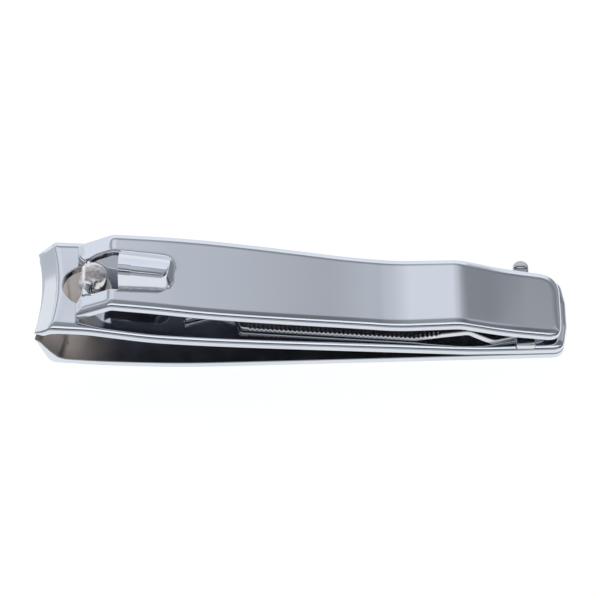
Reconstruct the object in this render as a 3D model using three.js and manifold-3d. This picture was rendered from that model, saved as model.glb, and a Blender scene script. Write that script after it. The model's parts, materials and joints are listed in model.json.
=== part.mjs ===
// Nail clipper with a swing-out file, folded flat. Millimetres, +Z up.
// X runs along the clipper from the cutting edges (-X) to the tail (+X), Y runs across it,
// and Z = 0 is the flat underside of the lower jaw.
import * as THREE from "three";
import { mergeVertices } from "three/addons/utils/BufferGeometryUtils.js";
import Module from "manifold-3d";

const wasm = await Module();
wasm.setup();

// ---- driving dimensions ----
const SHEET = 1.4;            // steel strip of the jaws and the lever
const JAW_HALF = 8.1;         // half the width of the jaws at the cutting edges
const JAW_TAIL_HALF = 6.45;   // half their width at the tail
const TAIL_X = 40.15;         // end of both jaws
const TIP_X = -39.75;         // line of the cutting edges, before their middle is curved back
const EDGE_HOLLOW = 1.05;     // how far the cutting edges curve back at the middle
const UPPER_EDGE_Z = 8.0;     // upper cutting edge
const LOWER_EDGE_Z = 6.55;    // lower cutting edge, below the open mouth
const CLEAR = 0.12;           // running clearance

const RIVET_X = 33.5;         // tail rivet: holds both jaws, and the file turns on it
const RIVET_R = 1.5;
const JAW_TAIL_TOP = 2 * SHEET;

const PIN_X = -30.85;         // upright pin through both jaws
const PIN_R = 1.75;           // its shaft, where it passes through the jaws
const PIN_HEAD_R = 2.1;
const PIN_TOP_Z = 13.6;
const FOOT_R = 2.9;
const FOOT_TOP_Z = 0.98;

const HOOK_X = -31.6;         // lever's hook bar in the notch of the pin: the lever tilts on it
const HOOK_Z = 12.0;
const HOOK_R = 0.6;
const NOTCH_HALF = 0.7;       // half the height of the notch in the pin

const LEVER_FRONT_X = -33.3;
const LEVER_END_X = 39.2;
const NOSE_R = 1.8;           // rounding under the prongs about the hook, clear of the jaw as they tip
const FORK_INNER = 2.4;       // half the gap between the lever's two prongs at the pin
const WINDOW_HALF = 3.35;     // half the width of the window behind the pin
const RIB_X0 = -26.85;        // open mouth of the raised rib
const RIB_X1 = -18.7;
const RIB_HALF = 3.4;
const RIB_RISE = 2.6;
const RIB_WALL = 0.9;

const FILE_THICK = 1;
const FILE_SEAT_Z = 2.85;     // underside of the file at the rivet
const FILE_HALF = 5.9;
const FILE_GAP = 0.22;        // between the file and the jaw under it
const FILE_BEND_X = 17;       // end of the flat toothed blade, start of the springy arm
const BLADE_X0 = -9.1;
const FILE_END_X = 37;
const TAB_HALF = 1.22;        // thumb tab across the file at its rivet
const TAB_NEAR_Y = -6.5;
const TAB_FAR_Y = 9.2;

// ---- helpers ----
const toVec = (list) => list.map(([x, y]) => new THREE.Vector2(x, y));

// A polyline whose corners [x, z, setback] are rounded off by a short curve.
function rounded(corners) {
  const out = [];
  const at = corners.map(([x, z]) => new THREE.Vector2(x, z));
  corners.forEach(([, , setback = 0], i) => {
    if (!setback) {
      out.push(at[i]);
      return;
    }
    const before = at[i].clone().add(at[i - 1].clone().sub(at[i]).setLength(setback));
    const after = at[i].clone().add(at[i + 1].clone().sub(at[i]).setLength(setback));
    out.push(...new THREE.QuadraticBezierCurve(before, at[i], after).getPoints(4));
  });
  return out;
}

// Height of a polyline that runs towards +X, at one x.
function heightAt(line, x) {
  const i = Math.min(Math.max(line.findIndex((p) => p.x > x), 1), line.length - 1);
  const a = line[i - 1];
  const b = line[i];
  return a.y + ((b.y - a.y) * (x - a.x)) / (b.x - a.x);
}

// The line a given depth below another, measured square to it.
function below(line, depth) {
  return line.map((p, i) => {
    const a = line[Math.max(i - 1, 0)];
    const b = line[Math.min(i + 1, line.length - 1)];
    const along = b.clone().sub(a).normalize();
    return new THREE.Vector2(p.x + along.y * depth, p.y - along.x * depth);
  });
}

// A side outline (x, z) extruded across the clipper.
function across(outline, half, steps = 1) {
  const g = new THREE.ExtrudeGeometry(new THREE.Shape(outline), {
    depth: 2 * half, steps, bevelEnabled: false, curveSegments: 1,
  });
  return g.rotateX(Math.PI / 2).translate(0, half, 0);
}

// A plan outline (x, y) extruded upwards.
function upright(outline, z0, z1) {
  const g = new THREE.ExtrudeGeometry(new THREE.Shape(outline), {
    depth: z1 - z0, bevelEnabled: false, curveSegments: 1,
  });
  return g.translate(0, 0, z0);
}

// A round profile (radius, z) turned about an upright axis at x.
function turned(profile, x, segments = 40) {
  const g = new THREE.LatheGeometry(toVec(profile), segments);
  return g.rotateX(Math.PI / 2).translate(x, 0, 0);
}

function solid(geometry) {
  const g = geometry.index ? geometry.toNonIndexed() : geometry;
  g.deleteAttribute("normal");
  g.deleteAttribute("uv");
  const merged = mergeVertices(g, 1e-4);
  const index = merged.index.array;
  const keep = [];
  for (let i = 0; i < index.length; i += 3) {
    const [a, b, c] = [index[i], index[i + 1], index[i + 2]];
    if (a !== b && b !== c && c !== a) keep.push(a, b, c);
  }
  return new wasm.Manifold(new wasm.Mesh({
    numProp: 3,
    vertProperties: new Float32Array(merged.attributes.position.array),
    triVerts: new Uint32Array(keep),
  }));
}

function geometryOf(body) {
  const m = body.getMesh();
  const g = new THREE.BufferGeometry();
  g.setAttribute("position", new THREE.BufferAttribute(new Float32Array(m.vertProperties), 3));
  g.setIndex(new THREE.BufferAttribute(new Uint32Array(m.triVerts), 1));
  g.computeVertexNormals();
  return g;
}

function steel(color, roughness) {
  return new THREE.MeshStandardMaterial({ color, roughness, metalness: 1 });
}

function part(name, body, material) {
  const mesh = new THREE.Mesh(geometryOf(body), material);
  mesh.name = name;
  return mesh;
}

// ---- jaws ----
const JAW_TOP = rounded([
  [-36.8, 10.5], [-31.6, 10.1, 1.5], [-22.3, 8.05, 2.5], [-4, 5.95, 5], [12, 4.3, 4],
  [26.5, 2.83, 3], [TAIL_X + 1, JAW_TAIL_TOP],
]);
const BELLY = rounded([[-37.4, 1.4], [-30, 0.5, 3], [-20, 0, 4], [TAIL_X + 1, 0]]);

// Plan of both jaws: cut front corners, then a straight front half that narrows to a rounded tail.
function jawPlan() {
  const front = [[TIP_X - 2, 6], [-39.5, 7.2], [-38.6, 7.7], [-37.2, JAW_HALF], [-21, JAW_HALF]];
  const plan = new THREE.Shape();
  plan.moveTo(front[0][0], -front[0][1]);
  front.slice(1).forEach(([x, y]) => plan.lineTo(x, -y));
  plan.quadraticCurveTo(-14, -JAW_HALF, -6, -7.8);
  plan.lineTo(37.6, -JAW_TAIL_HALF);
  plan.quadraticCurveTo(39.5, -6.35, 39.7, -4.2);
  plan.quadraticCurveTo(TAIL_X, -2, TAIL_X, 0);
  plan.quadraticCurveTo(TAIL_X, 2, 39.7, 4.2);
  plan.quadraticCurveTo(39.5, 6.35, 37.6, JAW_TAIL_HALF);
  plan.lineTo(-6, 7.8);
  plan.quadraticCurveTo(-14, JAW_HALF, -21, JAW_HALF);
  front.toReversed().slice(1).forEach(([x, y]) => plan.lineTo(x, y));
  return plan.getPoints(6);
}

// Curves the cutting edge back at the middle, fading out towards the pin.
function hollowEdge(geometry) {
  const p = geometry.attributes.position;
  for (let i = 0; i < p.count; i += 1) {
    const bow = 1 - (p.getY(i) / JAW_HALF) ** 2;
    const share = THREE.MathUtils.clamp((-33.4 - p.getX(i)) / 3, 0, 1);
    p.setX(i, p.getX(i) + EDGE_HOLLOW * Math.max(bow, 0) * share);
  }
  return geometry;
}

function jawBlank(outline) {
  const wide = solid(hollowEdge(across(outline, JAW_HALF, 16)));
  return wide.intersect(solid(upright(jawPlan(), -5, 20)));
}

function rivetBore(grow) {
  const r = RIVET_R + grow;
  return solid(turned([
    [0, -1], [2.4 + grow, -1], [2.4 + grow, 0.15], [r, 0.95], [r, 2.95],
    [2.2 + grow, 3.6], [2.2 + grow, 8], [0, 8],
  ], RIVET_X));
}

function upperJaw() {
  const under = below(JAW_TOP, SHEET).filter((p) => p.x > -36.4 && p.x < TAIL_X + 1);
  const roomed = under.map((p) => {
    const room = SHEET + 0.023 * Math.max(RIVET_X - p.x, 0);
    return new THREE.Vector2(p.x, Math.max(p.y, room));
  });
  const lip = toVec([[TIP_X, UPPER_EDGE_Z], [-38.1, 8.15], [-37, 8.95]]);
  const heel = toVec([[TAIL_X + 1, SHEET]]);
  const outline = [...JAW_TOP.toReversed(), ...lip, ...roomed, ...heel];
  const window = new THREE.EllipseCurve(-31.9, 0, 3.5, 3.5).getPoints(40).slice(0, -1);
  return jawBlank(outline)
    .subtract(solid(upright(window, 5, 15)))
    .subtract(rivetBore(0.15));
}

function lowerJaw() {
  const over = below(BELLY, -(SHEET - 0.02)).filter((p) => p.x > -36.2 && p.x < TAIL_X + 1);
  const lip = toVec([[-36.05, 2.75], [-38.75, 6.3], [TIP_X, LOWER_EDGE_Z]]);
  const heel = toVec([[TAIL_X + 1, SHEET - 0.02]]);
  const outline = [...BELLY, ...heel, ...over.toReversed(), ...lip];
  const recess = [[0, -1], [FOOT_R + 0.3, -1], [FOOT_R + 0.3, FOOT_TOP_Z + 0.06],
    [PIN_R + CLEAR, FOOT_TOP_Z + 0.06], [PIN_R + CLEAR, 5], [0, 5]];
  return jawBlank(outline)
    .subtract(solid(turned(recess, PIN_X)))
    .subtract(rivetBore(CLEAR));
}

function tailRivet() {
  return solid(turned([
    [0, 0.05], [2.3, 0.05], [2.4, 0.15], [RIVET_R, 0.95], [RIVET_R, 2.95],
    [2.2, 3.6], [2.2, 3.66], [0, 3.66],
  ], RIVET_X));
}

// ---- pin ----
function pullPin() {
  const body = solid(turned([
    [0, 0.3], [FOOT_R - 0.25, 0.3], [FOOT_R, 0.55], [FOOT_R, FOOT_TOP_Z], [PIN_R, FOOT_TOP_Z],
    [PIN_R, 9.8], [PIN_HEAD_R, 10.5], [PIN_HEAD_R, 12.95], [1.95, 13.3], [1.4, 13.53],
    [0, PIN_TOP_Z],
  ], PIN_X));
  const notch = new THREE.BoxGeometry(4, 6, 2 * NOTCH_HALF).translate(PIN_X - 2.05, 0, HOOK_Z);
  return body.subtract(solid(notch));
}

// ---- lever ----
const LEVER_TOP = rounded([
  [LEVER_FRONT_X - 1, 11.25], [-28, 14.42, 0.5], [-21, 13.6, 2.5], [-7.6, 11.5, 4],
  [7.4, 9.15, 3], [14.5, 8.25, 2.5], [23.9, 8.7, 1.2], [31, 6.5, 3], [LEVER_END_X + 1, 4.8],
]);

function leverPlan() {
  const plan = new THREE.Shape();
  const half = [
    [LEVER_FRONT_X + 0.5, 6.55], [-15, 6.95], [-7.5, 6.8], [0, 6.55], [7.5, 6.25],
    [15, 6.2], [24, 6.1], [36.2, 5.8],
  ];
  plan.moveTo(LEVER_FRONT_X, -6.1);
  half.forEach(([x, y]) => plan.lineTo(x, -y));
  plan.quadraticCurveTo(38.7, -5.7, LEVER_END_X - 0.2, -2.9);
  plan.quadraticCurveTo(LEVER_END_X, 0, LEVER_END_X - 0.2, 2.9);
  plan.quadraticCurveTo(38.7, 5.7, 36.2, 5.8);
  half.toReversed().forEach(([x, y]) => plan.lineTo(x, y));
  plan.lineTo(LEVER_FRONT_X, 6.1);
  return plan.getPoints(6);
}

// The opening between the prongs: a wide mouth, a neck at the pin, and the window behind it.
function leverWindow() {
  const w = new THREE.Shape();
  w.moveTo(LEVER_FRONT_X - 1, -6.3);
  w.lineTo(LEVER_FRONT_X, -4.35);
  w.lineTo(HOOK_X - 0.5, -FORK_INNER);
  w.quadraticCurveTo(HOOK_X + 0.55, -WINDOW_HALF, HOOK_X + 1.95, -WINDOW_HALF);
  w.lineTo(RIB_X0, -WINDOW_HALF);
  w.lineTo(RIB_X0, WINDOW_HALF);
  w.lineTo(HOOK_X + 1.95, WINDOW_HALF);
  w.quadraticCurveTo(HOOK_X + 0.55, WINDOW_HALF, HOOK_X - 0.5, FORK_INNER);
  w.lineTo(LEVER_FRONT_X, 4.35);
  w.lineTo(LEVER_FRONT_X - 1, 6.3);
  return w.getPoints(5);
}

// An arched tunnel along X that narrows and sinks to a rounded end.
function ribForm(x0, x1, half, rise, floor) {
  const arch = [[half, floor]];
  const steps = 14;
  for (let i = 0; i <= steps; i += 1) {
    const a = (Math.PI * i) / steps;
    const y = half * Math.sign(Math.cos(a)) * Math.abs(Math.cos(a)) ** 0.72;
    arch.push([y, rise * Math.sin(a) ** 0.72]);
  }
  arch.push([-half, floor]);
  const g = new THREE.ExtrudeGeometry(new THREE.Shape(toVec(arch)), {
    depth: 1, steps: 18, bevelEnabled: false, curveSegments: 1,
  });
  const p = g.attributes.position;
  for (let i = 0; i < p.count; i += 1) {
    const x = x0 + (x1 - x0) * p.getZ(i);
    const run = (x - RIB_X0) / (RIB_X1 - RIB_X0);
    const round = Math.max((p.getZ(i) - 0.68) / 0.32, 0);
    const end = 0.1 + 0.9 * Math.sqrt(1 - round * round);
    const y = p.getX(i) * (1 - 0.18 * run) * (0.35 + 0.65 * end);
    const z = p.getY(i) * (p.getY(i) > 0 ? (1 - 0.42 * run) * end : 1);
    p.setXYZ(i, x, y, heightAt(LEVER_TOP, x) + z);
  }
  return solid(g);
}

function lever() {
  const outline = [...LEVER_TOP, ...below(LEVER_TOP, SHEET).toReversed()];
  const strip = solid(across(outline, 8)).intersect(solid(upright(leverPlan(), 0, 20)));
  const hook = new THREE.CylinderGeometry(HOOK_R, HOOK_R, 2 * FORK_INNER + 0.8, 24)
    .translate(HOOK_X, 0, HOOK_Z);
  const corner = new THREE.BoxGeometry(4, 20, 4).translate(HOOK_X - 2, 0, HOOK_Z - 2);
  const nose = new THREE.CylinderGeometry(NOSE_R, NOSE_R, 24, 48).translate(HOOK_X, 0, HOOK_Z);
  return strip
    .subtract(solid(corner).subtract(solid(nose)))
    .add(ribForm(RIB_X0, RIB_X1, RIB_HALF, RIB_RISE, -0.7))
    .subtract(ribForm(RIB_X0 - 1, RIB_X1 - 0.8, RIB_HALF - RIB_WALL, RIB_RISE - RIB_WALL, -2.2))
    .subtract(solid(upright(leverWindow(), 8, 20)))
    .add(solid(hook));
}

// ---- file ----
const SPRING_TOP = rounded([
  [FILE_BEND_X, heightAt(JAW_TOP, FILE_BEND_X) + FILE_GAP + FILE_THICK], [25.1, 6.5, 0.7],
  [29.1, FILE_SEAT_Z + FILE_THICK, 0.4], [FILE_END_X + 1, FILE_SEAT_Z + FILE_THICK],
]);

// The blade follows the slope of the jaw, and ends in a narrow bent pick.
function fileBlade() {
  const xs = Array.from({ length: 19 }, (_, i) => -19 + (i * (FILE_BEND_X - 0.01 + 19)) / 18);
  const low = xs.map((x) => new THREE.Vector2(x, heightAt(JAW_TOP, x) + FILE_GAP));
  const high = low.map((p) => new THREE.Vector2(p.x, p.y + FILE_THICK));
  const plan = new THREE.Shape();
  plan.moveTo(FILE_BEND_X, -FILE_HALF);
  plan.lineTo(FILE_BEND_X, FILE_HALF);
  plan.lineTo(BLADE_X0 + 3, FILE_HALF);
  plan.quadraticCurveTo(BLADE_X0, FILE_HALF, BLADE_X0 - 1.5, 1.6);
  plan.quadraticCurveTo(-12, -1.2, -14.2, -2.9);
  plan.lineTo(-17.5, -5.2);
  plan.lineTo(-17.0, -6.1);
  plan.lineTo(-15.6, -5.3);
  plan.quadraticCurveTo(-12.4, -3.4, BLADE_X0 - 1.2, -4.4);
  plan.quadraticCurveTo(BLADE_X0 - 0.1, -5.2, BLADE_X0 + 0.2, -FILE_HALF);
  return solid(across([...high, ...low.toReversed()], 8))
    .intersect(solid(upright(plan.getPoints(6), 0, 20)));
}

// The springy arm: a hump under the lever's bend, then a flat end with the thumb tab.
function fileArm() {
  const outline = [...SPRING_TOP, ...below(SPRING_TOP, FILE_THICK).toReversed()];
  const plan = new THREE.Shape();
  plan.moveTo(FILE_BEND_X + 0.01, -FILE_HALF);
  plan.lineTo(RIVET_X - TAB_HALF, -5.6);
  plan.lineTo(RIVET_X - TAB_HALF, TAB_NEAR_Y);
  plan.lineTo(RIVET_X + TAB_HALF, TAB_NEAR_Y);
  plan.lineTo(RIVET_X + TAB_HALF, -5.4);
  plan.quadraticCurveTo(FILE_END_X, -5, FILE_END_X, 0);
  plan.quadraticCurveTo(FILE_END_X, 5, RIVET_X + TAB_HALF, 5.4);
  plan.lineTo(RIVET_X + TAB_HALF, TAB_FAR_Y - TAB_HALF);
  plan.absarc(RIVET_X, TAB_FAR_Y - TAB_HALF, TAB_HALF, 0, Math.PI, false);
  plan.lineTo(RIVET_X - TAB_HALF, 5.6);
  plan.lineTo(FILE_BEND_X + 0.01, FILE_HALF);
  return solid(across(outline, 10))
    .intersect(solid(upright(plan.getPoints(8), 0, 20)))
    .subtract(rivetBore(0.15));
}

// ---- assembly ----
const chrome = steel(0xd4d8df, 0.12);
const leverChrome = steel(0xb9c0ca, 0.18);
const fileSteel = steel(0xa9adb2, 0.35);

const clipper = new THREE.Group();
clipper.add(
  part("lower_jaw", lowerJaw(), chrome),
  part("upper_jaw", upperJaw(), chrome),
  part("tail_rivet", tailRivet(), chrome),
  part("pull_pin", pullPin(), chrome),
  part("lever", lever(), leverChrome),
  part("file_blade", fileBlade(), fileSteel),
  part("file_arm", fileArm(), fileSteel),
);

export default clipper;
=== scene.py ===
import json
import math

import bmesh
import bpy
import numpy as np
from mathutils import Matrix, Vector, geometry


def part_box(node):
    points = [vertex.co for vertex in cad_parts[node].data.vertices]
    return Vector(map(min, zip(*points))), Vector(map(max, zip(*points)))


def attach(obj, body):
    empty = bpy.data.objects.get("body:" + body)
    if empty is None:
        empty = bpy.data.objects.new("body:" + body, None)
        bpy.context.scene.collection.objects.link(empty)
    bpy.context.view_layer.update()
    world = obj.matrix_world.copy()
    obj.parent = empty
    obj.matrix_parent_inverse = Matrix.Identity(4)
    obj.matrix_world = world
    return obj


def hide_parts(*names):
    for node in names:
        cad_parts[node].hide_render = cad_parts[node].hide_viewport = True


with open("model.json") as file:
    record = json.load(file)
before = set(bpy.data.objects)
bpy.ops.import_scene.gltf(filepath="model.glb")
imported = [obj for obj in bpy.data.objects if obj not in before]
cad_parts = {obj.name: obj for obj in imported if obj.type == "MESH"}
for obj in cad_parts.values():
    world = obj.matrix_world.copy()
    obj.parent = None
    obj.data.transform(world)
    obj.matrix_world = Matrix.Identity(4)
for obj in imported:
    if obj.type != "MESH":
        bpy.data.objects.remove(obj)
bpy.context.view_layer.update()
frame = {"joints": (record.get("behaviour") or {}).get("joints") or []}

# Looks of the nail clipper. Shapes are worked out in millimetres in the CAD frame and made in metres.
# X runs from the cutting edges (-X) to the tail (+X), Y across, Z up from the lower jaw's underside.
# The near side is -Y, where the camera stands, and the far side is +Y.
MM = 0.001


def joint_at(name):
    """The joint's point in millimetres."""
    return next([c / MM for c in j["pos_m"]] for j in frame["joints"] if j["name"] == name)


def box_mm(node):
    """The low and high corners of a CAD node in millimetres."""
    low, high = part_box(node)
    return [c / MM for c in low], [c / MM for c in high]


_, JAW_HIGH = box_mm("upper_jaw")
_, LOWER_HIGH = box_mm("lower_jaw")
LEVER_LOW, LEVER_HIGH = box_mm("lever")
ARM_LOW, ARM_HIGH = box_mm("file_arm")
_, BLADE_HIGH = box_mm("file_blade")
PIN_LOW, PIN_HIGH = box_mm("pull_pin")

SHEET = 1.4                  # thickness of the jaws and the lever
JAW_HALF = JAW_HIGH[1]
JAW_TAIL_HALF = 6.45
TIP_HALF = 7.2               # half the width of the cutting edges, between their cut corners
TIP_X = -39.75               # line of the cutting edges, before their middle is curved back
TAIL_X = JAW_HIGH[0]
EDGE_HOLLOW = 1.05           # how far the middle of the cutting edges is curved back
CURVED_TO_X = -33.4          # the curve fades out over CURVE_RUN ahead of here
CURVE_RUN = 3
UPPER_EDGE_Z = 8.0
LOWER_EDGE_Z = LOWER_HIGH[2]
EDGE_GRIND = 0.02            # thickness left at the ground cutting edges
RIVET_X = joint_at("file_swing")[0]
PIN_X = joint_at("pin_turn")[0]
PIN_R = 1.75
PIN_FOOT_TOP_Z = 0.98
PIN_RECESS_R = 3.2           # recess under the lower jaw that the pin's foot lies in
PIN_RECESS_Z = 1.04
HOOK_X, _, HOOK_Z = joint_at("lever_tilt")
HOOK_R = 0.6
LEVER_FRONT_X = LEVER_LOW[0]
LEVER_END_X = LEVER_HIGH[0]
PRONG_END_HALF = 4.35        # half the gap between the prongs' ends
NOSE_R = 1.8                 # rounding under the prongs about the hook
RIB_X0 = -26.85              # open mouth of the lever's raised rib
RIB_X1 = -18.7               # its closed end
RIB_END_RUN = 2.6            # length of its rounded end
RIB_HALF = 3.4
RIB_RISE = 2.75              # crown above the lever's strip
RIB_HOLLOW_RISE = 3.0        # hollow above the strip's underside
RIB_HOLLOW_HALF = 2.65
WINDOW_HALF = 3.35
FILE_HALF = 5.9
FILE_THICK = 1.0
FILE_GAP = 0.22              # between the blade and the upper jaw
FILE_SEAT_Z = ARM_LOW[2]     # underside of the file at the rivet
FILE_BEND_X = BLADE_HIGH[0]
FILE_ARM_X = FILE_BEND_X + 4.2
FILE_ARM_HALF = 5.8
BLADE_X0 = -9.1
TOOTH_PITCH = 0.66
TOOTH_DEPTH = 0.42
TEETH_X0 = BLADE_X0 + 1.3
TEETH_X1 = FILE_BEND_X + 3.8
TAB_HALF = 1.22


# ---- lines and outlines ----
SHORTEST_RUN = 1e-3            # a shorter run of an outline is left out
POINTS_AT_ONCE = 1500          # distances are worked out for so many points at a time, to save memory


def rounded(corners, steps=16):
    """Points along a polyline of corners (two coordinates, and a setback for a corner to be rounded)."""
    out = []
    for i, corner in enumerate(corners):
        at = np.array(corner[:2], float)
        setback = corner[2] if len(corner) > 2 else 0
        if not setback:
            out.append(at)
            continue
        before = np.array(corners[i - 1][:2], float)
        after = np.array(corners[(i + 1) % len(corners)][:2], float)
        a = at + (before - at) / np.linalg.norm(before - at) * setback
        b = at + (after - at) / np.linalg.norm(after - at) * setback
        for t in np.linspace(0, 1, steps + 1):
            out.append((1 - t) ** 2 * a + 2 * t * (1 - t) * at + t * t * b)
    return np.array(out)


def height_of(line):
    """The height of a polyline (x, z) as a function of x."""
    return lambda x: np.interp(x, line[:, 0], line[:, 1])


def steepness(f, x, h):
    """The slope of f at x, measured over h to both sides."""
    return (f(x + h) - f(x - h)) / (2 * h)


def smooth(t):
    """A soft step from 0 to 1 as t goes from 0 to 1."""
    t = np.clip(t, 0, 1)
    return t * t * (3 - 2 * t)


def divided(line, step):
    """A closed line with its runs divided to about one step, and without its empty ones."""
    out = []
    for a, b in zip(line, np.roll(line, -1, axis=0)):
        length = np.linalg.norm(b - a)
        if length < SHORTEST_RUN:
            continue
        n = max(1, round(length / step))
        out.extend(a + (b - a) * k / n for k in range(n))
    return np.array(out)


def closed_loop(corners, step, steps=8):
    """A closed outline with rounded corners, divided to about one step."""
    return divided(rounded(corners, steps), step)


def loop_normals(loop):
    """Unit directions out of an anticlockwise loop at its points, and each one's cosine with the direction
    out of its sides."""
    before = loop - np.roll(loop, 1, axis=0)
    after = np.roll(loop, -1, axis=0) - loop
    na = np.stack([before[:, 1], -before[:, 0]], 1)
    nb = np.stack([after[:, 1], -after[:, 0]], 1)
    na /= np.linalg.norm(na, axis=1, keepdims=True)
    nb /= np.linalg.norm(nb, axis=1, keepdims=True)
    n = na + nb
    n /= np.linalg.norm(n, axis=1, keepdims=True)
    reach = np.clip((n * nb).sum(1), 0.6, 1)
    return n, reach


def distance_to(points, loops):
    """Distance from each point to the nearest side of the loops, each (points, which sides count)."""
    starts, ends = [], []
    for loop, counted in loops:
        nxt = np.roll(loop, -1, axis=0)
        starts.append(loop[counted])
        ends.append(nxt[counted])
    a, b = np.concatenate(starts), np.concatenate(ends)
    ab = b - a
    length = np.maximum((ab * ab).sum(1), 1e-12)
    out = np.empty(len(points))
    for i in range(0, len(points), POINTS_AT_ONCE):
        p = points[i : i + POINTS_AT_ONCE, None, :]
        t = np.clip(((p - a) * ab).sum(2) / length, 0, 1)
        q = a + t[:, :, None] * ab
        out[i : i + POINTS_AT_ONCE] = np.sqrt(((p - q) ** 2).sum(2).min(1))
    return out


def inside(points, loop):
    """True for the points inside one loop."""
    x, y = points[:, 0, None], points[:, 1, None]
    x0, y0 = loop[:, 0], loop[:, 1]
    x1, y1 = np.roll(x0, -1), np.roll(y0, -1)
    crosses = (y0 > y) != (y1 > y)
    crossing = (x1 - x0) * (y - y0) / np.where(y1 == y0, 1e-12, y1 - y0) + x0
    return (crosses & (x < crossing)).sum(1) % 2 == 1


# ---- a pressed sheet: two height surfaces over one plan, with rolled and rounded edges ----
ROLLED = (0.33, 1.5, 2.6)      # depth, reach and power of the roll that the blanking die leaves
FLAT = (0, 1, 1)
ROLL_RINGS = (0.44, 0.56, 0.7, 0.86, 1.05, 1.27, 1.5, 1.75)   # insets of the mesh rings that draw it
RING_ROOM = 0.04               # how much nearer to a side a ring's points may lie than its inset
SHARP_EDGE = 0.012             # radius left on square sides
HOLE_EDGE = 0.16               # radius around holes
EDGE_SHARE = 0.42              # most of the thickness that one rounded edge may take
EDGE_STEPS = 5
THINNEST = 0.01                # thickness reckoned with where the sheet is ground thinner
SLOPE_STEP = 0.02              # distance over which a surface's slope is measured


def roll_depth(amount, d):
    """How far the roll lies below the sheet's surface at d from the side."""
    depth, reach, power = amount
    return depth * np.clip(1 - d / reach, 0, 1) ** power


def roll_angle(amount, d):
    """The slope of the roll at d from the side, as an angle."""
    depth, reach, power = amount
    return math.atan(depth * power / reach * max(1 - d / reach, 0) ** (power - 1))


def inset_by(loop, normal, reach, distance):
    """The points of a loop moved inwards until they are at a distance from its sides."""
    return loop - normal * (distance / reach)[:, None]


def plan_mesh(loops, rims, offsets, grid, grid_inset):
    """Points and triangles of the plan between the rims, from rings along its sides and a grid in its
    middle, and the place of each rim point among the points."""
    every = [(loop, np.ones(len(loop), bool)) for loop in loops]
    points = [np.concatenate(rims)]
    for inset in ROLL_RINGS:
        if inset > grid_inset:
            break
        ring = np.concatenate([inset_by(loop, n, r, inset) for loop, (n, r) in zip(loops, offsets)])
        points.append(ring[distance_to(ring, every) > inset - RING_ROOM])
    keep = inside(grid, loops[0])
    for hole in loops[1:]:
        keep &= ~inside(grid, hole)
    grid = grid[keep]
    points.append(grid[distance_to(grid, every) > grid_inset])

    edges, start = [], 0
    for rim in rims:
        n = len(rim)
        edges.extend((start + i, start + (i + 1) % n) for i in range(n))
        start += n
    flat = [Vector(p) for p in np.concatenate(points)]
    made = geometry.delaunay_2d_cdt(flat, edges, [], 0, 1e-6)
    plan = np.array([tuple(v) for v in made[0]])
    tris = np.array([f for f in made[2] if len(f) == 3])
    centre = plan[tris].mean(1)
    good = inside(centre, rims[0])
    for rim in rims[1:]:
        good &= ~inside(centre, rim)
    tris = tris[good]
    u, v = plan[tris[:, 1]] - plan[tris[:, 0]], plan[tris[:, 2]] - plan[tris[:, 0]]
    tris = np.where((u[:, 0] * v[:, 1] < u[:, 1] * v[:, 0])[:, None], tris[:, ::-1], tris)
    return plan, tris, {old: i for i, originals in enumerate(made[3]) for old in originals}


def surface_normals(surface, p, sign):
    h = SLOPE_STEP
    dx = (surface(p + [h, 0]) - surface(p - [h, 0])) / (2 * h)
    dy = (surface(p + [0, h]) - surface(p - [0, h])) / (2 * h)
    n = np.stack([-dx, -dy, np.ones(len(p))], 1) * sign
    return n / np.linalg.norm(n, axis=1, keepdims=True)


def round_edge(amount, edge, steps):
    """Steps of a rounded edge from its rim: outward share, drop share and angle of the normal."""
    first = roll_angle(amount, edge)
    radius = 1 / (1 - math.sin(first))
    return [(radius * (math.sin(a) - math.sin(first)), radius * (math.cos(first) - math.cos(a)), a)
            for a in np.linspace(first, math.pi / 2, steps + 1)[1:]]


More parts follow.
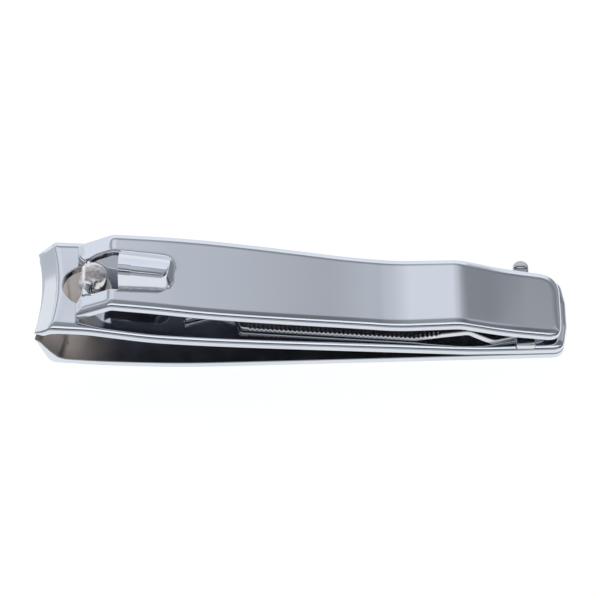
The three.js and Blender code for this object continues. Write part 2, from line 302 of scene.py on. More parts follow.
def pressed_sheet(name, outer, holes, top, bottom, columns, rows, square=None, over=ROLLED, under=FLAT,
                  edge=0.34, dull=None, grid_inset=1.95, unrolled=None):
    """A sheet between top(x, y) and bottom(x, y), rolled along its outer sides. square marks the outer sides
    left sharp and unrolled those with a plain rounded edge; dull is 'top' or 'bottom'."""
    loops = [outer] + [h[::-1] for h in holes]
    soft = ~square(outer) if square else np.ones(len(outer), bool)
    rolling = soft & ~unrolled(outer) if unrolled else soft
    offsets = [loop_normals(loop) for loop in loops]
    insets = [np.where(soft & np.roll(soft, 1), edge, SHARP_EDGE)]
    insets += [np.full(len(loop), min(edge, HOLE_EDGE)) for loop in loops[1:]]
    rims = [inset_by(loop, n, r, inset) for loop, (n, r), inset in zip(loops, offsets, insets)]
    grid = np.array([(x, y) for x in columns for y in rows(x)])
    plan, tris, where = plan_mesh(loops, rims, offsets, grid, grid_inset)

    def rolled(f, amount, sign):
        """A height surface with its roll, which fades out where the sheet is ground thin."""
        def surface(p):
            x, y = p[:, 0], p[:, 1]
            share = np.clip((top(x, y) - bottom(x, y)) / SHEET, 0, 1)
            return f(x, y) - sign * share * roll_depth(amount, distance_to(p, [(outer, rolling)]))
        return surface

    upper, lower = rolled(top, over, 1), rolled(bottom, under, -1)
    count = len(plan)
    verts = [np.column_stack([plan, upper(plan)]), np.column_stack([plan, lower(plan)])]
    dirs = [surface_normals(upper, plan, 1), surface_normals(lower, plan, -1)]
    faces = [tuple(t) for t in tris] + [tuple(t[::-1] + count) for t in tris]
    looks = [int(dull == "top")] * len(tris) + [int(dull == "bottom")] * len(tris)
    z_top, z_bottom = verts[0][:, 2], verts[1][:, 2]

    start, made_verts = 0, 2 * count
    for loop, (normal, _), inset, rim in zip(loops, offsets, insets, rims):
        n = len(loop)
        ids = np.array([where[start + i] for i in range(n)])
        start += n
        room = np.maximum(z_top[ids] - z_bottom[ids], THINNEST)
        rings = [ids]
        for z0, amount, sign in ((z_top[ids], over, 1), (z_bottom[ids], under, -1)):
            amount = amount if loop is outer else FLAT
            full_drop = round_edge(amount, edge, 1)[0][1]
            fit = np.minimum(inset, room * EDGE_SHARE / full_drop)
            for out, drop, angle in round_edge(amount, edge, EDGE_STEPS)[::sign]:
                xy = rim + (loop - rim) * min(out, 1)
                verts.append(np.column_stack([xy, z0 - sign * fit * drop]))
                upright = np.full(n, sign * math.cos(angle))
                dirs.append(np.column_stack([normal * math.sin(angle), upright]))
                rings.append(np.arange(made_verts, made_verts + n))
                made_verts += n
        rings.append(ids + count)
        for a, b in zip(rings, rings[1:]):
            for i in range(n):
                j = (i + 1) % n
                faces.append((a[i], b[i], b[j], a[j]))
                looks.append(0)
    all_dirs = np.concatenate(dirs)
    obj = make_mesh(name, np.concatenate(verts), faces, [all_dirs[i] for f in faces for i in f])
    if dull:
        obj.data.materials.append(None)
        obj.data.materials.append(None)
        obj.data.polygons.foreach_set("material_index", looks)
    return obj


def make_mesh(name, verts_mm, faces, loop_dirs=None):
    """A smooth-shaded object; loop_dirs gives a normal for every corner of every face."""
    mesh = bpy.data.meshes.new(name)
    verts = [tuple(v) for v in np.asarray(verts_mm) * MM]
    mesh.from_pydata(verts, [], [tuple(map(int, f)) for f in faces])
    mesh.polygons.foreach_set("use_smooth", [True] * len(mesh.polygons))
    if loop_dirs is not None:
        mesh.normals_split_custom_set([tuple(d) for d in loop_dirs])
    mesh.update()
    obj = bpy.data.objects.new(name, mesh)
    bpy.context.scene.collection.objects.link(obj)
    return obj


# ---- jaws ----
LIP_X = -36.2                  # behind here the upper jaw is plain strip
LOWER_LIP_X = -35.4            # and the lower jaw behind here
TAIL_WEDGE = 0.023             # slope of the room between the jaws ahead of the rivet
JAW_GAP = 0.02                 # between the jaws at the rivet
UPPER_HOLE_X = -31.9           # middle of the large hole that the pin stands in
JAW_TOP = rounded([
    (TIP_X, UPPER_EDGE_Z), (-37.1, 10.5, 0.45), (-31.6, 10.1, 1.5), (-22.3, 8.05, 2.5), (-4, 5.95, 5),
    (12, 4.3, 4), (26.5, 2.83, 3), (TAIL_X + 1, 2 * SHEET),
])
JAW_LIP_UNDER = rounded([
    (TIP_X, UPPER_EDGE_Z - EDGE_GRIND), (-38.1, 8.13), (-37, 8.93, 0.4), (-35.6, 8.98),
])
BELLY = rounded([
    (TIP_X, LOWER_EDGE_Z - EDGE_GRIND), (-37.4, 1.4, 0.9), (-30, 0.5, 3), (-20, 0, 4), (TAIL_X + 1, 0),
])
LOWER_LIP_TOP = rounded([
    (TIP_X, LOWER_EDGE_Z), (-38.75, 6.3, 0.12), (-36.05, 2.75, 0.7), (-34, 2.42),
])


def edge_bow(y):
    """How far the curve of the cutting edges sets them back at y."""
    return EDGE_HOLLOW * np.clip(1 - (y / JAW_HALF) ** 2, 0, 1)


def uncurved(x, y):
    """The plan x that a point had before the cutting edge was curved back at its middle."""
    out = x
    for _ in range(14):
        out = x - edge_bow(y) * np.clip((CURVED_TO_X - out) / CURVE_RUN, 0, 1)
    return out


def jaw_outline():
    """The plan of both jaws, anticlockwise."""
    front = [(TIP_X + edge_bow(y), y) for y in np.linspace(TIP_HALF, -TIP_HALF, 40)]
    side = [front[0], (-38.6, 7.72, 0.4), (-37.2, JAW_HALF, 0.9), (-16, JAW_HALF, 5), (-6, 7.8, 3),
            (39.45, JAW_TAIL_HALF - 0.1, 1.7)]
    near = [(x, -y, *set_back) for x, y, *set_back in side]
    sides = rounded([*near, (TAIL_X + 0.35, 0, 2.2), *side[::-1]], 14)
    out = divided(np.concatenate([sides, front[1:-1]]), 0.4)
    out[:, 0] = np.minimum(out[:, 0], TAIL_X)
    return out


def front_side(loop):
    """True for the sides along the cutting edge."""
    nxt = np.roll(loop, -1, axis=0)
    in_front = (loop[:, 0] < -38) & (nxt[:, 0] < -38)
    return in_front & (np.abs(loop[:, 1] + nxt[:, 1]) < 2 * TIP_HALF)


def circle(x, radius, count):
    t = np.linspace(0, 2 * math.pi, count, endpoint=False)
    return np.column_stack([x + radius * np.cos(t), radius * np.sin(t)])


FINE_TO_X = -33                # ahead of here the jaws' mesh is finer
JAW_COLUMNS = np.concatenate([np.arange(-39.6, FINE_TO_X, 0.22), np.arange(FINE_TO_X, 39.6, 0.75)])


def jaw_rows(x):
    return np.arange(-7.6, 7.7, 0.7 if x > FINE_TO_X else 0.5)


def upper_top(x, y):
    return height_of(JAW_TOP)(uncurved(x, y))


def upper_bottom(x, y):
    u = uncurved(x, y)
    top = height_of(JAW_TOP)
    lean = np.sqrt(1 + steepness(top, u, 0.4) ** 2)
    strip = np.maximum(top(u) - SHEET * lean, SHEET + TAIL_WEDGE * np.maximum(RIVET_X - u, 0))
    return np.where(u < LIP_X, height_of(JAW_LIP_UNDER)(u), strip)


def lower_bottom(x, y):
    return height_of(BELLY)(uncurved(x, y))


def lower_top(x, y):
    u = uncurved(x, y)
    belly = height_of(BELLY)
    strip = belly(u) + (SHEET - JAW_GAP) * np.sqrt(1 + steepness(belly, u, 0.4) ** 2)
    lip = np.maximum(height_of(LOWER_LIP_TOP)(u), belly(u) + EDGE_GRIND)
    return np.where(u < LOWER_LIP_X, lip, strip)


def lower_bottom_recessed(x, y):
    around = lower_bottom(x, y)
    recess = np.hypot(x - PIN_X, y) < PIN_RECESS_R
    return np.where(recess, np.maximum(around, PIN_RECESS_Z), around)


def upper_jaw():
    pin_hole = circle(UPPER_HOLE_X, 3.5, 84)
    rivet_hole = circle(RIVET_X, 1.65, 40)
    return pressed_sheet("upper_jaw_strip", jaw_outline(), [pin_hole, rivet_hole], upper_top,
                         upper_bottom, JAW_COLUMNS, jaw_rows, front_side, dull="bottom")


def lower_jaw():
    pin_hole = circle(PIN_X, PIN_R + 0.12, 48)
    rivet_hole = circle(RIVET_X, 1.62, 40)
    return pressed_sheet("lower_jaw_strip", jaw_outline(), [pin_hole, rivet_hole], lower_top,
                         lower_bottom_recessed, JAW_COLUMNS, jaw_rows, front_side, FLAT, ROLLED,
                         edge=0.14, dull="top")


# ---- lever ----
LEVER_TOP = rounded([
    (LEVER_FRONT_X - 1, 11.25), (-28, 14.42, 0.5), (-21, 13.6, 2.5), (-7.6, 11.5, 4), (7.4, 9.15, 3),
    (14.5, 8.25, 2.5), (23.9, 8.7, 1.2), (31, 6.5, 3), (LEVER_END_X + 1, 4.8),
])


RIB_TAPER = 0.03               # narrowing towards the closed end
RIB_FALL = 0.06                # the crown's fall towards it
RIB_WALL = 2.45                # slope of the walls
CROWN_Y = (-1.65, -1)          # the flat of the crown, between its near and its far slope
FAR_SLOPE, FAR_BEND = 0.2, 0.1
NEAR_BEND = 0.3
FAR_FOOT = 0.16                # softness of the far wall's foot


def rib(x, y, half, rise, shoulder):
    """Height of the pressed rib above the strip: a long far slope, a narrow crown and steep walls."""
    run = np.clip(x - RIB_X0, 0, None)
    wide = half - RIB_TAPER * run
    past = np.clip(x - (RIB_X1 - RIB_END_RUN), 0, None) * wide / RIB_END_RUN
    across = (np.abs(y) ** 3 + past ** 3) ** (1 / 3)
    wall = RIB_WALL * (wide - across)
    near = np.clip(CROWN_Y[0] - y, 0, None)
    far = np.clip(y - CROWN_Y[1], 0, None)
    top = rise - RIB_FALL * run - FAR_SLOPE * far - FAR_BEND * far ** 2 - NEAR_BEND * near ** 2
    share = np.clip(0.5 + 0.5 * (top - wall) / shoulder, 0, 1)
    height = top * (1 - share) + wall * share - shoulder * share * (1 - share)
    foot = FAR_FOOT * smooth(y)
    return 0.5 * (height + np.sqrt(height ** 2 + foot ** 2))


def lever_top(x, y):
    return height_of(LEVER_TOP)(x) + rib(x, y, RIB_HALF, RIB_RISE, 0.5)


def lever_bottom(x, y):
    top = height_of(LEVER_TOP)
    strip = top(x) - SHEET * np.sqrt(1 + steepness(top, x, 0.3) ** 2)
    nose = HOOK_Z - np.sqrt(np.clip(NOSE_R ** 2 - (x - HOOK_X) ** 2, 0, None))
    strip = np.where(x < HOOK_X, np.maximum(strip, nose), strip)
    return strip + rib(x, y, RIB_HOLLOW_HALF, RIB_HOLLOW_RISE, 0.8)


def lever_outline():
    """The plan of the lever, anticlockwise: the window for the pin is open between the prongs."""
    half = [(LEVER_FRONT_X, PRONG_END_HALF, 0.25), (LEVER_FRONT_X, 6.55, 0.7), (-15, 6.95, 4),
            (-7.5, 6.8, 3), (0, 6.55, 3), (7.5, 6.25, 3), (15, 6.2, 3), (24, 6.1, 3)]
    end = [(LEVER_END_X - 0.15, -5.75, 2.2), (LEVER_END_X + 0.12, 0, 2), (LEVER_END_X - 0.15, 5.75, 3)]
    window = [(HOOK_X - 0.5, 2.4, 0.4), (HOOK_X + 0.75, WINDOW_HALF, 0.9), (RIB_X0, WINDOW_HALF, 0.12)]
    near_half = [(x, -y, r) for x, y, r in half]
    near_window = [(x, -y, r) for x, y, r in window[::-1]]
    loop = closed_loop(near_half + end + half[::-1] + window + near_window, 0.35)
    loop[:, 0] = np.minimum(loop[:, 0], LEVER_END_X)
    return loop


LEVER_COLUMNS = np.concatenate([np.arange(-33.4, -27.4, 0.3), np.arange(-27.3, -18.2, 0.16),
                                np.arange(-18.2, 38.2, 0.6)])


def lever_rows(x):
    """Close rows beside the rib, and closest at the foot of its near wall."""
    if not -27.5 < x < -18.4:
        return np.arange(-6.6, 6.7, 0.6)
    return np.concatenate([np.arange(-6.6, -3.5, 0.16), np.arange(-3.5, -2.95, 0.05),
                           np.arange(-2.9, 6.7, 0.16)])


def mouth_side(loop):
    """True for the side along the rib's open mouth."""
    nxt = np.roll(loop, -1, axis=0)
    return (np.abs(loop[:, 0] - RIB_X0) < 0.01) & (np.abs(nxt[:, 0] - RIB_X0) < 0.01)


def window_side(loop):
    """True for the sides between the prongs and around the window."""
    x, y = loop[:, 0], np.abs(loop[:, 1])
    return (x > LEVER_FRONT_X + 0.05) & (x < RIB_X0 + 0.1) & (y < PRONG_END_HALF - 0.05)


def lever():
    return pressed_sheet("lever_strip", lever_outline(), [], lever_top, lever_bottom,
                         LEVER_COLUMNS, lever_rows, mouth_side, dull="bottom", unrolled=window_side)


# ---- pin, rivet and hook ----
TURN_SIDES = 96
SHARP_FROM = math.radians(30)  # edges that bend more than this are bevelled


def turned(name, profile, x):
    """A mesh turned about the upright axis at x from a profile (radius, z) with both ends on the axis."""
    verts, rings, faces = [], [], []
    for r, z in profile:
        if r == 0:
            rings.append([len(verts)])
            verts.append((x, 0, z))
            continue
        rings.append(list(range(len(verts), len(verts) + TURN_SIDES)))
        verts += [(x + r * math.cos(a), r * math.sin(a), z)
                  for a in np.linspace(0, 2 * math.pi, TURN_SIDES, endpoint=False)]
    for low, high in zip(rings, rings[1:]):
        for i in range(TURN_SIDES):
            j = (i + 1) % TURN_SIDES
            if len(low) == 1:
                faces.append((low[0], high[j], high[i]))
            elif len(high) == 1:
                faces.append((low[i], low[j], high[0]))
            else:
                faces.append((low[i], low[j], high[j], high[i]))
    return make_mesh(name, verts, faces)


def cut_flat(obj, point, normal):
    """Cuts away what lies beyond a plane (millimetres) and closes the cut."""
    bm = bmesh.new()
    bm.from_mesh(obj.data)
    whole = bm.verts[:] + bm.edges[:] + bm.faces[:]
    cut = bmesh.ops.bisect_plane(bm, geom=whole, plane_co=Vector(point) * MM, plane_no=Vector(normal),
                                 clear_outer=True, dist=1e-8)
    rim = [e for e in cut["geom_cut"] if isinstance(e, bmesh.types.BMEdge)]
    bmesh.ops.holes_fill(bm, edges=rim, sides=0)
    bm.to_mesh(obj.data)
    bm.free()


def cut_away(obj, cutter):
    """Takes the cutter's shape out of the mesh and deletes the cutter."""
    m = obj.modifiers.new("cut", "BOOLEAN")
    m.object, m.operation, m.solver = cutter, "DIFFERENCE", "EXACT"
    bake(obj)
    bpy.data.objects.remove(cutter)


def bake(obj):
    """Applies the modifiers to the mesh."""
    dg = bpy.context.evaluated_depsgraph_get()
    mesh = bpy.data.meshes.new_from_object(obj.evaluated_get(dg), depsgraph=dg)
    old = obj.data
    obj.modifiers.clear()
    obj.data = mesh
    mesh.name = obj.name
    bpy.data.meshes.remove(old)


def soften(obj, width):
    """Bevels the sharp edges by a width in millimetres."""
    m = obj.modifiers.new("soften", "BEVEL")
    m.width, m.segments = width * MM, 2
    m.limit_method, m.angle_limit = "ANGLE", SHARP_FROM
    bake(obj)
    obj.data.polygons.foreach_set("use_smooth", [True] * len(obj.data.polygons))
    obj.data.set_sharp_from_angle(angle=SHARP_FROM)


def slab(name, low, high):
    """A box in millimetres, for cutting with."""
    (x0, y0, z0), (x1, y1, z1) = low, high
    verts = [(x, y, z) for x in (x0, x1) for y in (y0, y1) for z in (z0, z1)]
    faces = [(0, 1, 3, 2), (4, 6, 7, 5), (0, 4, 5, 1), (2, 3, 7, 6), (0, 2, 6, 4), (1, 5, 7, 3)]
    return make_mesh(name, verts, faces)


PIN_FACETS = [                 # sheared facets of the head: a point from the pin's axis, and the facing
    ((0.5, 0.35, 13.42), (0.08, -0.1, 1)),
    ((-1.3, 0.2, 13.15), (-0.8, -0.1, 0.6)),
    ((-0.5, -1.35, 13.0), (-0.3, -0.8, 0.5)),
    ((0.85, -1.3, 12.95), (0.5, -0.75, 0.5)),
]


def pin():
    foot, top = PIN_LOW[2], PIN_HIGH[2]
    profile = [(0, foot), (2.55, foot), (2.8, foot + 0.1), (2.9, foot + 0.3), (2.9, 0.9),
               (2.84, PIN_FOOT_TOP_Z), (PIN_R, PIN_FOOT_TOP_Z), (PIN_R, 9.75), (1.8, 9.95), (2.05, 10.4),
               (2.1, 10.6), (2.1, 12.9), (2.06, 13.15), (1.95, 13.33), (1.7, 13.46), (1.2, 13.56),
               (0.6, top - 0.01), (0, top)]
    obj = turned("pin_post", profile, PIN_X)
    notch = HOOK_R + 0.1
    cut_away(obj, slab("notch", (PIN_X - 4, -3, HOOK_Z - notch), (PIN_X - 0.05, 3, HOOK_Z + notch)))
    for (x, y, z), facing in PIN_FACETS:
        cut_flat(obj, (PIN_X + x, y, z), facing)
    soften(obj, 0.09)
    return obj


def rivet():
    profile = [(0, 0.05), (2.2, 0.05), (2.33, 0.09), (2.38, 0.17), (1.5, 0.95), (1.5, 2.95), (2.17, 3.58),
               (2.17, 3.64), (2.1, 3.66), (0, 3.66)]
    obj = turned("tail_rivet_post", profile, RIVET_X)
    soften(obj, 0.03)
    return obj


def hook():
    """The lever's round hook bar, lying across the notch of the pin."""
    place = (HOOK_X * MM, 0, HOOK_Z * MM)
    bpy.ops.mesh.primitive_cylinder_add(vertices=48, radius=HOOK_R * MM, depth=5.6 * MM, location=place,
                                        rotation=(math.pi / 2, 0, 0))
    obj = bpy.context.object
    obj.name = "lever_hook_bar"
    obj.data.transform(obj.matrix_world)
    obj.matrix_world = Matrix.Identity(4)
    soften(obj, 0.08)
    return obj


# ---- file ----
def blade_top(x):
    """The top of the flat blade, which lies along the upper jaw."""
    return height_of(JAW_TOP)(x) + FILE_GAP + FILE_THICK


SPRING_TOP = rounded([
    (FILE_BEND_X, blade_top(FILE_BEND_X)), (25.1, 6.5, 0.7), (29.1, FILE_SEAT_Z + FILE_THICK, 0.4),
    (ARM_HIGH[0] + 1, FILE_SEAT_Z + FILE_THICK),
])
GROOVE_Y, GROOVE_WIDTH, GROOVE_DEPTH = 7.3, 0.3, 0.5
STEP_Y, STEP_WIDTH, STEP_DEPTH = 7.9, 0.3, 0.13
TOOTH_STEPS = np.arange(TEETH_X0, FILE_BEND_X + 4, TOOTH_PITCH / 4)


def file_line(x):
    """The top of the file's strip, before teeth and grip marks are cut."""
    return np.where(x < FILE_BEND_X, blade_top(x), height_of(SPRING_TOP)(x))


def tab_marks(x, y):
    """Grip marks pressed across the far end of the thumb tab: a groove by the lever, then a step."""
    groove = GROOVE_DEPTH * np.exp(-((y - GROOVE_Y) / GROOVE_WIDTH) ** 2)
    step = STEP_DEPTH * (1 - smooth((y - STEP_Y) / STEP_WIDTH)) * smooth((y - FILE_HALF - 0.1) / 0.5)
    return (groove + step) * (x > RIVET_X - 2)


def tooth(x):
    """Depth of the cross-cut teeth, which end a little up the spring."""
    phase = ((x - TEETH_X0) / TOOTH_PITCH) % 1
    saw = np.where(phase < 0.5, phase / 0.5, (1 - phase) / 0.5)
    return TOOTH_DEPTH * saw * (x > TEETH_X0) * (x < TEETH_X1)


def file_top(x, y):
    return file_line(x) - tooth(x) - tab_marks(x, y)


def file_bottom(x, y):
    return file_line(x) - FILE_THICK * np.sqrt(1 + steepness(file_line, x, 0.3) ** 2)


def run_up_to(corners):
    """The outline through the corners from the first to the last, divided and with rounded corners."""
    loop = closed_loop(corners, 0.3, 6)
    x, y = corners[-1]
    return loop[: 1 + np.argmin(np.hypot(loop[:, 0] - x, loop[:, 1] - y))]


def file_outline():
    """The plan of the file, anticlockwise: arm and tab, far edge of the blade, pick, near edge."""
    t0, t1 = RIVET_X - TAB_HALF, RIVET_X + TAB_HALF
    end = ARM_HIGH[0]
    near, far = ARM_LOW[1], ARM_HIGH[1]
    arm = run_up_to([
        (FILE_ARM_X, -FILE_ARM_HALF), (28.6, -FILE_ARM_HALF, 1), (t0, -4.9, 0.3), (t0, near, 0.4),
        (t1 + 0.4, near, 0.4), (t1 + 0.4, -5.2, 0.3), (end, -5, 1.4), (end, 5, 1.8), (t1, 5.3, 0.3),
        *((RIVET_X + TAB_HALF * math.cos(a), far - TAB_HALF + TAB_HALF * math.sin(a))
          for a in np.linspace(0, math.pi, 15)),
        (t0, 5.6, 0.3), (FILE_ARM_X, FILE_ARM_HALF),
    ])
    half = np.interp(TOOTH_STEPS, [FILE_BEND_X, FILE_ARM_X], [FILE_HALF, FILE_ARM_HALF])
    pick = run_up_to([
        (TEETH_X0 - 0.1, FILE_HALF), (BLADE_X0 + 0.5, FILE_HALF, 0.6), (-11, 0.8, 2), (-14.2, -2.2, 0.6),
        (-17.2, -4.2, 0.12), (-17.45, -4.55, 0.1), (-17, -5.05, 0.15), (-14.5, -4.1, 0.9),
        (-12, -3.3, 0.9), (BLADE_X0 - 0.5, -4.1, 0.7), (BLADE_X0 + 0.1, -FILE_HALF, 0.6),
        (TEETH_X0 - 0.1, -FILE_HALF),
    ])
    far_edge = np.column_stack([TOOTH_STEPS, half])[::-1]
    near_edge = np.column_stack([TOOTH_STEPS, -half])
    return np.concatenate([arm, far_edge, pick, near_edge])


def file_rows(_):
    return np.arange(-5.4, 5.5, 0.6)


def file_strip():
    columns = np.concatenate([np.arange(-17.2, TEETH_X0 - 0.1, 0.3), TOOTH_STEPS,
                              np.arange(FILE_ARM_X, 37, 0.35)])
    rivet_hole = circle(RIVET_X, 2.33, 40)
    return pressed_sheet("nail_file", file_outline(), [rivet_hole], file_top, file_bottom, columns,
                         file_rows, over=(0.03, 0.5, 2), edge=0.2, grid_inset=1.15)


# ---- materials ----
GRAIN_DEPTH = 0.02
PAINTED_SHADE_FROM_X, PAINTED_SHADE_FULL_X = -34, -27   # where the painted shade on the inner faces, a darker tint deep between the jaws, sets in and is full


def combined(nodes, links, a, b, operation):
    """A node that adds or multiplies two colours or vectors."""
    node = nodes.new("ShaderNodeVectorMath")
    node.operation = operation
    links.new(a, node.inputs[0])
    links.new(b, node.inputs[1])
    return node.outputs[0]


def noise(nodes, links, source, scale, detail):
    node = nodes.new("ShaderNodeTexNoise")
    node.inputs["Scale"].default_value = scale
    node.inputs["Detail"].default_value = detail
    links.new(source, node.inputs["Vector"])
    return node.outputs["Fac"]


def map_range(nodes, links, source, before, after=(0, 1)):
    node = nodes.new("ShaderNodeMapRange")
    node.inputs["From Min"].default_value, node.inputs["From Max"].default_value = before
    node.inputs["To Min"].default_value, node.inputs["To Max"].default_value = after
    links.new(source, node.inputs["Value"])
    return node.outputs[0]


def ramp(nodes, links, source, stops):
    """A colour ramp with (place, colour) stops, read at source."""
    node = nodes.new("ShaderNodeValToRGB")
    links.new(source, node.inputs["Fac"])
    elements = node.color_ramp.elements
    elements.remove(elements[1])
    for i, (place, colour) in enumerate(stops):
        stop = elements[0] if i == 0 else elements.new(place)
        stop.position = place
        stop.color = (*colour, 1)
    return node.outputs["Color"]


def material(name, colour, rough, spread, bump, stretch=(1, 1, 1), grain=3000, tone=0.04, back=None,
             patch=90):
    """Polished metal: uneven gloss from rough to rough + spread, tone changes in patches, and a shallow
    polishing grain. back is painted shade: a darker tint that sets in behind the cutting edges, deep between
    the jaws."""
    m = bpy.data.materials.new(name)
    m.use_nodes = True
    nodes, links = m.node_tree.nodes, m.node_tree.links
    bsdf = nodes["Principled BSDF"]
    bsdf.inputs["Metallic"].default_value = 1
    at = nodes.new("ShaderNodeTexCoord").outputs["Object"]
    place = nodes.new("ShaderNodeMapping")
    place.inputs["Scale"].default_value = stretch
    links.new(at, place.inputs["Vector"])
    fine = noise(nodes, links, place.outputs[0], grain, 5)
    broad = noise(nodes, links, at, patch, 3)
    gloss = map_range(nodes, links, broad, (0.3, 0.7), (rough, rough + spread))
    links.new(gloss, bsdf.inputs["Roughness"])
    paint = ramp(nodes, links, broad, [(0.35, [c * (1 - tone) for c in colour]), (0.65, colour)])
    # painted shade: behind the cutting edges the colour is tinted darker, where shade falls deep between the
    # jaws
    if back:
        split = nodes.new("ShaderNodeSeparateXYZ")
        links.new(at, split.inputs[0])
        along = map_range(nodes, links, split.outputs["X"], (PAINTED_SHADE_FROM_X * MM, PAINTED_SHADE_FULL_X * MM))
        shade = ramp(nodes, links, along, [(0, (1, 1, 1)), (1, back)])
        paint = combined(nodes, links, paint, shade, "MULTIPLY")
    links.new(paint, bsdf.inputs["Base Color"])
    press = nodes.new("ShaderNodeBump")
    press.inputs["Strength"].default_value = bump
    press.inputs["Distance"].default_value = GRAIN_DEPTH * MM
    links.new(fine, press.inputs["Height"])
    links.new(press.outputs["Normal"], bsdf.inputs["Normal"])
    return m


# ---- studio ----
VIEW_ELEVATION = math.radians(55)
VIEW_DISTANCE = 435
VIEW_CENTRE = (-0.1, 0, 6.4)
FLOOR_HALF_M = 3.0


def camera():
    """The product view: square on to the near side, looking down at it."""
    data = bpy.data.cameras.new("camera")
    data.lens, data.sensor_width = 174, 36
    data.clip_start, data.clip_end = 0.01, 20
    obj = bpy.data.objects.new("camera", data)
    bpy.context.scene.collection.objects.link(obj)
    back = Vector((0, -math.cos(VIEW_ELEVATION), math.sin(VIEW_ELEVATION)))
    obj.location = (Vector(VIEW_CENTRE) + back * VIEW_DISTANCE) * MM
    obj.rotation_mode = "QUATERNION"
    obj.rotation_quaternion = (-back).to_track_quat("-Z", "Y")
    bpy.context.scene.camera = obj


def floor():
    """A plain white floor under the jaws, that glows a little so that it stays even."""
    size = FLOOR_HALF_M
    verts = [(-size, -size, 0), (size, -size, 0), (size, size, 0), (-size, size, 0)]
    mesh = bpy.data.meshes.new("floor")
    mesh.from_pydata(verts, [], [(0, 1, 2, 3)])
    obj = bpy.data.objects.new("floor", mesh)
    bpy.context.scene.collection.objects.link(obj)
    m = bpy.data.materials.new("floor_white")
    m.use_nodes = True
    sheen = m.node_tree.nodes["Principled BSDF"].inputs
    sheen["Base Color"].default_value = (0.35, 0.35, 0.35, 1)
    sheen["Roughness"].default_value = 0.9
    sheen["Specular IOR Level"].default_value = 0
    sheen["Emission Color"].default_value = (0.97, 0.985, 1, 1)
    sheen["Emission Strength"].default_value = 0.87
    mesh.materials.append(m)


# Brightness by the angle in degrees from the far horizon (0) over the top (90) to the near horizon (180).
LOW_PANEL = [(0, 0.95), (20, 1), (38, 1.08), (43, 0), (180, 0)]
MIDDLE_PANEL = [(0, 0), (38, 0), (43, 0.4), (49, 0.52), (52, 0.94), (57, 0.94), (61, 0.38), (83, 0.36),
                (87, 0), (180, 0)]
NEAR_PANEL = [(0, 0), (84, 0), (87, 1.3), (96, 1.3), (99, 0.07), (120, 0.07), (136, 0.4), (176, 0.5),
              (180, 0.6)]
# What is left of it by the x of the direction, from the cutting edges (-1) to the tail (1).
LOW_FADE = [(-1, 0.6), (-0.87, 0.7), (-0.72, 0.93), (-0.5, 1), (0.4, 1), (0.5, 0.36), (1, 0.36)]
MIDDLE_FADE = [(-1, 0.9), (-0.4, 0.94), (0, 1), (0.135, 0.79), (0.222, 0.73), (0.257, 0.58), (0.39, 0.46),
               (0.53, 0.59), (1, 0.6)]
NEAR_FADE = [(-1, 0.1), (-0.8, 0.1), (-0.72, 1), (0.72, 1), (0.8, 0.1), (1, 0.1)]
SKY_TINT = (0.97, 1, 1.07)


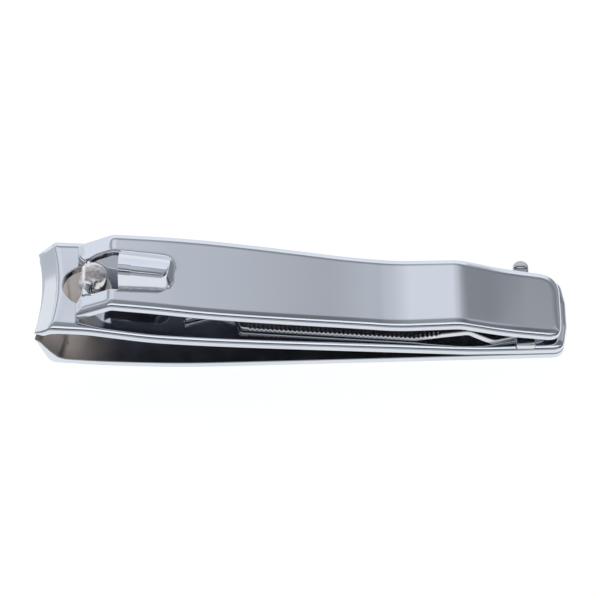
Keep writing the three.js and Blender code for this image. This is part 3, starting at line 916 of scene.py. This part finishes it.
def sky():
    """Soft studio surround: three panels, from the far side over the top to the near side, that each fade
    by their own measure towards the cutting edges and the tail."""
    world = bpy.data.worlds.new("studio")
    bpy.context.scene.world = world
    world.use_nodes = True
    nodes, links = world.node_tree.nodes, world.node_tree.links
    background = nodes["Background"]
    split = nodes.new("ShaderNodeSeparateXYZ")
    links.new(nodes.new("ShaderNodeTexCoord").outputs["Generated"], split.inputs[0])
    angle = nodes.new("ShaderNodeMath")
    angle.operation = "ARCTAN2"
    links.new(split.outputs["Z"], angle.inputs[0])
    links.new(split.outputs["Y"], angle.inputs[1])
    share = nodes.new("ShaderNodeMath")
    share.operation = "DIVIDE"
    share.inputs[1].default_value = math.pi
    links.new(angle.outputs[0], share.inputs[0])
    along = map_range(nodes, links, split.outputs["X"], (-1, 1))

    def panel(stops, fade):
        tinted = [(a / 180, [value * t for t in SKY_TINT]) for a, value in stops]
        left = [((x + 1) / 2, (value, value, value)) for x, value in fade]
        light = ramp(nodes, links, share.outputs[0], tinted)
        return combined(nodes, links, light, ramp(nodes, links, along, left), "MULTIPLY")

    total = panel(NEAR_PANEL, NEAR_FADE)
    for light in (panel(LOW_PANEL, LOW_FADE), panel(MIDDLE_PANEL, MIDDLE_FADE)):
        total = combined(nodes, links, total, light, "ADD")
    links.new(total, background.inputs["Color"])
    background.inputs["Strength"].default_value = 1.0


def overhead_light():
    """A long soft lamp above the clipper, that does not show as a line in the chrome."""
    data = bpy.data.lights.new("overhead", "AREA")
    data.shape, data.size, data.size_y, data.energy = "RECTANGLE", 1.2, 0.12, 1.5
    obj = bpy.data.objects.new("overhead", data)
    obj.location = (0, -0.02, 1.2)
    obj.rotation_mode = "QUATERNION"
    obj.rotation_quaternion = (-obj.location).to_track_quat("-Z", "Y")
    obj.visible_glossy = False
    bpy.context.scene.collection.objects.link(obj)


camera()
floor()
sky()
overhead_light()
bpy.context.scene.view_settings.view_transform = "Standard"

CHROME = (0.70, 0.73, 0.775)
jaw_chrome = material("jaw_chrome_plate", CHROME, rough=0.05, spread=0.05, bump=0.015)
lever_chrome = material("lever_chrome_plate", CHROME, rough=0.08, spread=0.05, bump=0.03,
                        stretch=(0.04, 1, 1), grain=7000)
pin_chrome = material("pin_chrome_plate", (0.84, 0.80, 0.795), rough=0.1, spread=0.16, bump=0.55,
                      grain=2600, tone=0.24, patch=2200)
# the inner faces: a warm dull steel tone of their own, with painted shade (back) darkening them behind the
# cutting edges
inner_face = material("inner_face_dull_steel_painted_shade", (0.74, 0.665, 0.615), rough=0.3, spread=0.1, bump=0.1,
                      grain=5000, tone=0.12, back=(0.36, 0.42, 0.52), patch=400)
file_steel = material("file_spring_steel", (0.72, 0.735, 0.76), rough=0.16, spread=0.1, bump=0.15,
                      stretch=(1, 0.2, 1), grain=6000)


def finish(obj, body, nodes, paint):
    if len(obj.data.materials) == 2:
        obj.data.materials[0], obj.data.materials[1] = paint, inner_face
    else:
        obj.data.materials.clear()
        obj.data.materials.append(paint)
    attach(obj, body)
    if nodes:
        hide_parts(*nodes)


finish(lower_jaw(), "base", ["lower_jaw"], jaw_chrome)
finish(upper_jaw(), "top", ["upper_jaw"], jaw_chrome)
finish(rivet(), "base", ["tail_rivet"], jaw_chrome)
finish(pin(), "pin", ["pull_pin"], pin_chrome)
finish(lever(), "arm", ["lever"], lever_chrome)
finish(hook(), "arm", [], lever_chrome)
finish(file_strip(), "file", ["file_blade", "file_arm"], file_steel)
